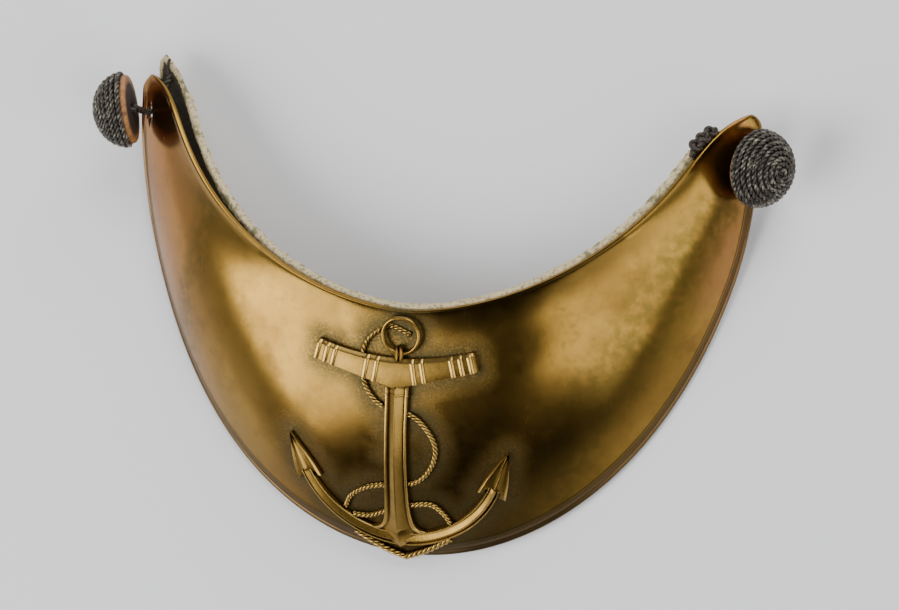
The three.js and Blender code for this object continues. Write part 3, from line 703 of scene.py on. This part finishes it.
# Each palm is a leaf with a raised rim and a middle ridge, swept back to two barbs.
PALM = [
    {"along": 0.02, "half": 0.92, "barb": 2.2}, {"along": 0.12, "half": 0.88, "barb": 1.8},
    {"along": 0.28, "half": 0.77, "barb": 1.2}, {"along": 0.46, "half": 0.6, "barb": 0.7},
    {"along": 0.66, "half": 0.4, "barb": 0.3}, {"along": 0.85, "half": 0.19, "barb": 0.1},
    {"along": 1, "half": 0.04, "barb": 0},
]
for sign in (-1, 1):
    base_x, base_y = arm_point(ARM_SWEEP * sign)
    anchor_bars.append(laid_bar("palm", [
        {"x": base_x + sign * math.cos(ARM_SWEEP) * row["along"] * FLUKE_LENGTH,
         "y": base_y + math.sin(ARM_SWEEP) * row["along"] * FLUKE_LENGTH,
         "half": row["half"] * FLUKE_WIDTH / 2, "barb": row["barb"],
         "rise": FLUKE_RISE * (1.15 - 0.5 * row["along"])}
        for row in PALM], LEAF))

# The crown is a flat point between the arms and the rope under them.
crown_half = ARM_RADIUS * 0.45
crown_stations = []
for step in range(17):
    share = step / 8 - 1
    arc = ARM_RADIUS * (1 - math.sqrt(1 - (share * crown_half / ARM_RADIUS) ** 2))
    upper = ARM_WIDTH / 4 + arc
    lower = min(upper - 0.4, -4.35 * (1 - abs(share)))
    crown_stations.append({
        "x": share * crown_half, "y": (upper + lower) / 2, "half": (upper - lower) / 2,
        "rise": ARM_RISE * 0.12})
crown = laid_bar("crown", crown_stations, FLAT)
# The crown is painted dark all over, as dirt and as the shade between the arms and the rope.
crown_marks = crown.data.attributes.new("dirt_and_shade", "FLOAT", "POINT")
for vertex in crown.data.vertices:
    crown_marks.data[vertex.index].value = 0.9
anchor_bars.append(crown)

# The ring stands in a small eye on top of the stock.
ring_up = STOCK_TOP + 1 + RING_RADIUS
RING_SECTION = [
    {"side": math.cos(math.radians(turn)), "up": 0.62 + 0.38 * math.sin(math.radians(turn)) + 0.001}
    for turn in range(0, 360, 30)]
ring_stations = [
    {"x": RING_SHIFT + RING_RADIUS * math.cos(math.tau * step / 48),
     "y": ring_up + RING_RADIUS * math.sin(math.tau * step / 48),
     "half": RING_WIRE / 2, "rise": RING_WIRE * 1.6} for step in range(48)]
anchor_bars.append(laid_bar("ring", ring_stations, RING_SECTION, loop=True))
for side in (-0.55, 0.55):
    anchor_bars.append(laid_bar("eye", [
        {"x": RING_SHIFT * 0.7 + side * (1 - 0.35 * abs(step) / 4),
         "y": STOCK_TOP + 0.85 + step * 0.45,
         "half": 0.46 * math.sqrt(max(0.05, 1 - (step / 4.2) ** 2)),
         "rise": RING_WIRE * 1.75} for step in range(-4, 5)], FLAT))


def joined(pieces, name):
    """Several meshes as one piece."""
    bpy.ops.object.select_all(action="DESELECT")
    for piece in pieces:
        piece.select_set(True)
    bpy.context.view_layer.objects.active = pieces[0]
    bpy.ops.object.join()
    whole = bpy.context.object
    whole.name = name
    return whole


def bevelled(piece, width):
    """Softens a piece's edges by a width in millimetres, and smooths what is between them."""
    bpy.ops.object.select_all(action="DESELECT")
    piece.select_set(True)
    bpy.context.view_layer.objects.active = piece
    bevel = piece.modifiers.new("worn", "BEVEL")
    bevel.width = width * MM
    bevel.segments = 2
    bevel.limit_method = "ANGLE"
    bevel.angle_limit = math.radians(28)
    bevel.use_clamp_overlap = True
    bpy.ops.object.modifier_apply(modifier=bevel.name)
    bpy.ops.object.shade_smooth_by_angle(angle=math.radians(50))


GILT = (0.27, 0.162, 0.035, 1)
GILT_WORN = (0.16, 0.09, 0.018, 1)
GILT_RUBBED_AND_HIGHLIT = (0.56, 0.36, 0.1, 1)
GILT_DIRT_AND_SHADE = (0.035, 0.022, 0.006, 1)


def gilt_paint(place):
    blotches = cloud(place, 6, 4)
    grain = cloud(place, 0.6, 3)
    hollow = place.node("AmbientOcclusion", {"Distance": 0.9 * MM}, output="AO", samples=8)
    colour = mixed(ramp(blotches, 0.4, 0.7) * 0.6, GILT, GILT_WORN)
    dirt_and_shade = place.node("Attribute", output="Fac", attribute_name="dirt_and_shade")
    rubbed_and_highlit = place.node("Attribute", output="Fac", attribute_name="rubbed_and_highlit")
    # Painted highlight, in part: the marked ridges, bevel, bands and rope are painted lighter, as
    # wear and as the light on them.
    colour = mixed(rubbed_and_highlit * 0.8, colour, GILT_RUBBED_AND_HIGHLIT)
    # Hollows are painted dark by their occlusion, as dirt and as painted shade.
    colour = mixed(1 - ramp(hollow, 0.45, 0.95), colour, GILT_DIRT_AND_SHADE)
    colour = mixed(dirt_and_shade, colour, GILT_DIRT_AND_SHADE)
    return {
        "Base Color": colour,
        "Metallic": 1,
        "Roughness": 0.24 + grain * 0.1,
        "Normal": bumped(grain * 0.5 + blotches * 2, 0.03),
    }


anchor = joined(anchor_bars, "anchor_casting")
bevelled(anchor, 0.09)
gilt = finish("gilt_casting", gilt_paint)
anchor.data.materials.clear()
anchor.data.materials.append(gilt)
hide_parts("anchor")
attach(anchor, "root")


# Rope of the anchor.
# It is cast in one with the anchor, as a rope of three strands: from the ring behind the stock,
# round the shank to the left arm, with a loop at the right and a length under the crown.
ROPE_STRAND = 0.3
ROPE_OFFSET = 0.34
ROPE_LAY = 3.2
ROPE_HEIGHT = 0.6
ROPE_THICKER = 1.22
BEHIND_HALF = 3.1
BEHIND_SOFT = 0.8
BEHIND_DROP = 0.4
ROPE_DOWN = [
    {"across": 0.13, "up": 1.12}, {"across": -0.04, "up": 1.155}, {"across": -0.15, "up": 1.14},
    {"across": -0.28, "up": 1.08}, {"across": -0.33, "up": 1}, {"across": -0.31, "up": 0.87},
    {"across": -0.24, "up": 0.8}, {"across": -0.12, "up": 0.75}, {"across": 0.12, "up": 0.72},
    {"across": 0.25, "up": 0.68}, {"across": 0.36, "up": 0.6}, {"across": 0.39, "up": 0.53},
    {"across": 0.35, "up": 0.45}, {"across": 0.25, "up": 0.375}, {"across": 0.1, "up": 0.33},
    {"across": -0.14, "up": 0.315}, {"across": -0.33, "up": 0.285}, {"across": -0.48, "up": 0.225},
    {"across": -0.55, "up": 0.15},
]
ROPE_LOOP = [
    {"across": -0.48, "up": 0.11}, {"across": -0.32, "up": 0.115}, {"across": -0.17, "up": 0.15},
    {"across": 0, "up": 0.19}, {"across": 0.13, "up": 0.21}, {"across": 0.32, "up": 0.22},
    {"across": 0.43, "up": 0.17}, {"across": 0.49, "up": 0.11},
]
ROPE_FOOT = [
    {"across": -0.47, "up": 0.01}, {"across": -0.24, "up": -0.058}, {"across": -0.02, "up": -0.112},
    {"across": 0.04, "up": -0.112}, {"across": 0.26, "up": -0.052}, {"across": 0.48, "up": 0.02},
]


def smooth_line(points, spacing):
    """Evenly spaced points on a smooth curve through the given ones, which hold metres."""
    fine = []
    padded = [points[0] * 2 - points[1], *points, points[-1] * 2 - points[-2]]
    for index in range(1, len(padded) - 2):
        a, b, c, d = padded[index - 1:index + 3]
        for step in range(24):
            t = step / 24
            fine.append(0.5 * (2 * b + (c - a) * t + (2 * a - 5 * b + 4 * c - d) * t * t
                               + (3 * b - a - 3 * c + d) * t * t * t))
    fine.append(points[-1])
    line = [fine[0]]
    for here, after in zip(fine, fine[1:]):
        gone = (line[-1] - here).length
        if gone + (after - here).length >= spacing:
            line.append(after)
    return line


def twisted(name, line, strands, strand, offset, lay, sides=2):
    """Strands laid round a line of points. Each is a round wire in metres, offset from the line."""
    bpy.ops.object.select_all(action="DESELECT")
    wires = bpy.data.curves.new(name, "CURVE")
    wires.dimensions = "3D"
    wires.bevel_depth = strand
    wires.bevel_resolution = sides
    wires.use_fill_caps = True
    normals = []
    normal = (line[1] - line[0]).orthogonal().normalized()
    for index, here in enumerate(line):
        way = (line[min(index + 1, len(line) - 1)] - line[max(index - 1, 0)]).normalized()
        normal = (normal - way * normal.dot(way)).normalized()
        normals.append((normal, way.cross(normal)))
    for number in range(strands):
        spline = wires.splines.new("POLY")
        spline.points.add(len(line) - 1)
        gone = 0.0
        for index, here in enumerate(line):
            if index:
                gone += (here - line[index - 1]).length
            angle = math.tau * (number / strands + gone / lay)
            first, second = normals[index]
            place = here + (first * math.cos(angle) + second * math.sin(angle)) * offset
            spline.points[index].co = (*place, 1)
    rope = bpy.data.objects.new(name, wires)
    bpy.context.scene.collection.objects.link(rope)
    rope.select_set(True)
    bpy.context.view_layer.objects.active = rope
    bpy.ops.object.convert(target="MESH")
    bpy.ops.object.mode_set(mode="EDIT")
    bpy.ops.mesh.select_all(action="SELECT")
    bpy.ops.mesh.remove_doubles(threshold=MERGED)
    bpy.ops.mesh.normals_make_consistent(inside=False)
    bpy.ops.object.mode_set(mode="OBJECT")
    bpy.ops.object.shade_smooth()
    return bpy.context.object


rope_pieces = []
for run in (ROPE_DOWN, ROPE_LOOP, ROPE_FOOT):
    thick = ROPE_THICKER if run is ROPE_FOOT else 1.0
    plan = [Vector((point["across"] * ARM_RADIUS, point["up"] * STOCK_TOP, 0)) for point in run]
    spaced = smooth_line(plan, ROPE_LAY / 12)
    # The rope goes down where it passes behind the shank, and the foot's run passes in front.
    line = []
    for point in spaced:
        behind = min(1.0, max(0.0, (BEHIND_HALF - abs(point.x)) / BEHIND_SOFT))
        drop = 0.0 if run is ROPE_FOOT else BEHIND_DROP * behind
        line.append(laid(point.x, point.y, ROPE_HEIGHT * thick - drop))
    rope_pieces.append(twisted(
        "run", line, 3, ROPE_STRAND * thick * MM, ROPE_OFFSET * thick * MM, -ROPE_LAY * thick * MM))
rope = joined(rope_pieces, "anchor_rope")
# The whole rope is painted lighter, as a painted highlight.
rope_rubbed_and_highlit = rope.data.attributes.new("rubbed_and_highlit", "FLOAT", "POINT")
for vertex in rope.data.vertices:
    rope_rubbed_and_highlit.data[vertex.index].value = 0.7
rope.data.materials.append(gilt)
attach(rope, "root")


DIVIDE_HALF = 62
DIVIDE_RISE = 60
DIVIDE_FOOT = 25
BORDER_REACH = 3
NECK_REACH = 9
DIRT_AND_SHADE_REACH = 5


def is_outer(point):
    """Whether a point of the plate's edge is on its outer side and not at the neck."""
    return point.y / MM < DIVIDE_RISE * (point.x / MM / DIVIDE_HALF) ** 2 - DIVIDE_FOOT


# Round the casting the plate has dirt in its corners and is painted darker there as shade, and
# the border's groove is painted dark as shade.
edge_points = rim_points("front_plate")
outer_points = [point for point in edge_points if is_outer(point)]
neck_points = [point for point in edge_points if not is_outer(point)]
mark_distance(plate, "border", outer_points, BORDER_REACH)
mark_distance(plate, "neck", neck_points, NECK_REACH)
casting_points = [vertex.co for piece in (anchor, rope) for vertex in piece.data.vertices]
mark_distance(plate, "dirt_and_shade", casting_points, DIRT_AND_SHADE_REACH)


# Buttons.
# Each is a turned mould with a flat back painted near black as shade, wound over its dome with
# a two-ply cord of tarnished metal thread, from the rim up to the middle. Only the mould's rim
# shows.
BUTTON_RADIUS = 8.4
BUTTON_HEIGHT = 8.8
MOULD_SHARE = 0.955
MOULD_RIM = 1.3
MOULD_RING = 1.6
WOUND_CORD = 1.22
WOUND_PLY = 0.34
WOUND_OFFSET = 0.285
WOUND_LAY = 2.5

MOULD_BROWN = (0.42, 0.19, 0.06, 1)
MOULD_STAIN = (0.16, 0.07, 0.025, 1)
MOULD_BACK_SHADE = (0.02, 0.013, 0.009, 1)


def mould_paint(place):
    grain = cloud(place, 1.2, 5)
    rim = place.node("Attribute", output="Fac", attribute_name="rim")
    side = mixed(ramp(grain, 0.4, 0.7), MOULD_BROWN, MOULD_STAIN)
    return {
        # Painted shade: all of the mould but its rim is painted near black.
        "Base Color": mixed(rim, MOULD_BACK_SHADE, side),
        "Roughness": 0.5 + grain * 0.2,
        "Normal": bumped(grain, 0.1),
    }


THREAD_DARK = (0.055, 0.047, 0.038, 1)
THREAD_SILVER = (0.5, 0.45, 0.36, 1)


def thread_paint(place):
    wear = cloud(place, 1.4, 3)
    fibre = cloud(place, 0.18, 3)
    worn = ramp(wear, 0.46, 0.72) * ramp(fibre, 0.3, 0.6)
    return {
        "Base Color": mixed(worn * 0.75, THREAD_DARK, THREAD_SILVER),
        "Metallic": 0.7 + worn * 0.3,
        "Roughness": 0.24 + fibre * 0.16,
        "Normal": bumped(fibre, 0.08),
    }


mould_brown = finish("mould_brown", mould_paint)
metal_thread = finish("metal_thread", thread_paint)


def button_frame(side):
    """The middle of a button's flat back and its axis, read from its solid mould."""
    mould = frame["nodes"]["button_mould_" + side].data
    backs = {}
    for face in mould.polygons:
        key = tuple(round(part, 2) for part in face.normal)
        backs.setdefault(key, []).append(face)
    back = max(backs.values(), key=lambda faces: sum(face.area for face in faces))
    corners = [mould.vertices[index].co for face in back for index in face.vertices]
    low = Vector([min(corner[axis] for corner in corners) for axis in range(3)])
    high = Vector([max(corner[axis] for corner in corners) for axis in range(3)])
    return (low + high) / 2, -back[0].normal.normalized()


def wound_line():
    """The winding's line in the button's own frame, one cord's width higher at each turn."""
    line = []
    turn = 0.0
    angle = 0.0
    across = BUTTON_RADIUS - 0.42
    foot = MOULD_RIM - 0.1
    climb = BUTTON_HEIGHT - WOUND_CORD / 2 - foot
    while angle < math.pi / 2 - 0.03:
        radius = across * math.cos(angle)
        line.append(Vector((
            radius * math.cos(turn), radius * math.sin(turn), foot + climb * math.sin(angle))) * MM)
        swing = math.hypot(across * math.sin(angle), climb * math.cos(angle))
        step = min(math.radians(30), 0.21 / max(radius, 0.3))
        turn += step
        angle += WOUND_CORD * step / math.tau / swing
    return line


for side in ("left", "right"):
    middle, axis = button_frame(side)
    to_button = Matrix.Translation(middle) @ axis.to_track_quat("Z", "Y").to_matrix().to_4x4()

    mould = copy_of("button_mould_" + side, "mould_" + side)
    narrowed = Matrix.Diagonal((MOULD_SHARE, MOULD_SHARE, 1, 1))
    mould.data.transform(to_button @ narrowed @ to_button.inverted())
    bevelled(mould, 0.25)
    bpy.ops.object.mode_set(mode="EDIT")
    bpy.ops.mesh.select_mode(type="FACE")
    bpy.ops.mesh.select_all(action="DESELECT")
    bpy.ops.object.mode_set(mode="OBJECT")
    for face in mould.data.polygons:
        face.select = face.normal.dot(axis) < -0.999
    bpy.ops.object.mode_set(mode="EDIT")
    bpy.ops.mesh.inset(thickness=MOULD_RING * MM, depth=0)
    bpy.ops.object.mode_set(mode="OBJECT")
    rim_marks = mould.data.attributes.new("rim", "FLOAT", "POINT")
    rim_from = (BUTTON_RADIUS * MOULD_SHARE - 0.6 * MOULD_RING) * MM
    for vertex in mould.data.vertices:
        offset = to_button.inverted() @ vertex.co
        is_rim = math.hypot(offset.x, offset.y) > rim_from
        rim_marks.data[vertex.index].value = 1.0 if is_rim else 0.0
    mould.data.materials.append(mould_brown)
    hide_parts("button_mould_" + side)
    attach(mould, "root")

    line = [to_button @ point for point in wound_line()]
    winding = twisted(
        "winding_" + side, line, 2, WOUND_PLY * MM, WOUND_OFFSET * MM, WOUND_LAY * MM, sides=1)

    # Under the cord a smooth dome closes what shows between its turns.
    bpy.ops.object.select_all(action="DESELECT")
    bpy.ops.mesh.primitive_uv_sphere_add(segments=32, ring_count=16, radius=1)
    dome = bpy.context.object
    bpy.ops.object.mode_set(mode="EDIT")
    bpy.ops.mesh.select_all(action="SELECT")
    bpy.ops.mesh.bisect(plane_co=(0, 0, 0), plane_no=(0, 0, 1), clear_inner=True, use_fill=True)
    bpy.ops.object.mode_set(mode="OBJECT")
    under = WOUND_CORD * 0.6
    seated = Matrix.Translation((0, 0, (MOULD_RIM - 0.3) * MM))
    sized = Matrix.Diagonal((
        (BUTTON_RADIUS - under) * MM, (BUTTON_RADIUS - under) * MM,
        (BUTTON_HEIGHT - MOULD_RIM + 0.3 - under) * MM, 1))
    dome.data.transform(to_button @ seated @ sized)
    bpy.ops.object.shade_smooth_by_angle(angle=math.radians(40))
    winding = joined([winding, dome], "winding_" + side)
    winding.data.materials.append(metal_thread)
    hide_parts("button_winding_" + side)
    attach(winding, "root")


# Button cords.
# A dark two-ply cord comes out of each mould, goes through the horn and the lining and is
# knotted behind it. The left one's end also climbs to the lining's tip, and the right one's end
# comes up over the lining's edge in a knot of three loops.
CORD_PLY = 0.42
CORD_OFFSET = 0.38
CORD_LAY = 3.2
HOLES = {
    "left": {"middle": Vector((-67.76, 39.6, 9.34)), "normal": Vector((-0.65, -0.132, 0.748))},
    "right": {"middle": Vector((67.04, 39.6, 9.34)), "normal": Vector((0.65, -0.132, 0.748))},
}
KNOT_DEPTH = {"left": 6.6, "right": 4.6}
LOOP_RADIUS = 0.95

CORD_DARK = (0.03, 0.02, 0.013, 1)
CORD_LIGHT = (0.42, 0.36, 0.26, 1)


def cord_paint(place):
    fibre = cloud(place, 0.35, 4)
    return {
        "Base Color": mixed(ramp(fibre, 0.6, 0.74), CORD_DARK, CORD_LIGHT),
        "Metallic": ramp(fibre, 0.6, 0.74) * 0.6,
        "Roughness": 0.45 + fibre * 0.25,
        "Normal": bumped(fibre, 0.15),
    }


def loop_round(middle, first, second, climb, turns, start=0.0):
    """Points, in millimetres, of a loop round a middle, climbing along a vector."""
    steps = max(4, round(turns * 8))
    return [
        middle + (first * math.cos(start + math.tau * turns * step / steps)
                  + second * math.sin(start + math.tau * turns * step / steps)) * LOOP_RADIUS
        + climb * (step / steps - 0.5) for step in range(steps + 1)]


def cord_of(name, route):
    """A twisted two-ply cord along a route in millimetres."""
    line = smooth_line([point * MM for point in route], CORD_LAY * MM / 12)
    return twisted(name, line, 2, CORD_PLY * MM, CORD_OFFSET * MM, CORD_LAY * MM)


dark_cord = finish("dark_cord", cord_paint)
for side, hole in HOLES.items():
    middle, axis = button_frame(side)
    seat = middle / MM
    normal = hole["normal"].normalized()
    across = normal.cross(Vector((0, 1, 0))).normalized()
    along = across.cross(normal)
    knot = hole["middle"] - normal * KNOT_DEPTH[side]
    route = [seat + axis * 0.5, seat - axis * 0.9, hole["middle"] + normal * 1.1, hole["middle"],
             hole["middle"] - normal * 1.6, knot + normal * 1.3]
    route += loop_round(knot, across, along, -normal * 1.3, 1.6)
    strand = cord_of("strand_" + side, route)
    if side == "left":
        # The end comes out past the horn's edge and is drawn through the lining near its tip.
        tail = cord_of("tail_left", [
            Vector(point) for point in (
                (-67.1, 39.9, 8.2), (-66.5, 41.6, 8.3), (-65.6, 43.0, 8.8), (-64.9, 44.2, 9.7),
                (-64.5, 45.4, 9.9), (-64.2, 46.6, 9.3), (-64.1, 47.6, 8.4), (-64.3, 48.0, 7.2),
                (-64.6, 47.2, 5.8), (-64.4, 45.2, 5.3), (-63.6, 42.8, 5.2))])
        thread_line = smooth_line([
            Vector(point) * MM for point in (
                (-64.0, 47.4, 8.8), (-64.5, 48.3, 8.7), (-64.9, 49.2, 8.5), (-64.7, 50.2, 8.4),
                (-64.9, 51.1, 8.0), (-64.7, 51.8, 7.6))], 0.2 * MM)
        thread = twisted("thread", thread_line, 2, 0.2 * MM, 0.17 * MM, 1.4 * MM)
        strand = joined([strand, tail, thread], "cord_left")
    else:
        edge_way = Vector((1.93, 3.65, -2.8)).normalized()
        edge_out = edge_way.cross(Vector((0.2, 0.35, 0.9)).normalized()).normalized()
        rise = edge_out.cross(edge_way) * 0.9
        knots = [Vector((60.0, 44.0, 12.9)), Vector((58.8, 42.5, 14.3)), Vector((57.7, 41.0, 15.3))]
        tail_route = [
            Vector((63.0, 40.6, 5.2)), Vector((61.2, 42.4, 6.6)), Vector((59.8, 44.4, 8.6))]
        for number, place in enumerate(knots):
            climb = rise if number % 2 else -rise
            tail_route += loop_round(place, edge_way, edge_out, climb, 1.1, 0.6)
        tail_route += [Vector((57.2, 39.6, 15.6)), Vector((57.0, 38.3, 15.8))]
        strand = joined([strand, cord_of("tail_right", tail_route)], "cord_right")
    strand.data.materials.append(dark_cord)
    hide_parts("button_cord_" + side)
    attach(strand, "root")
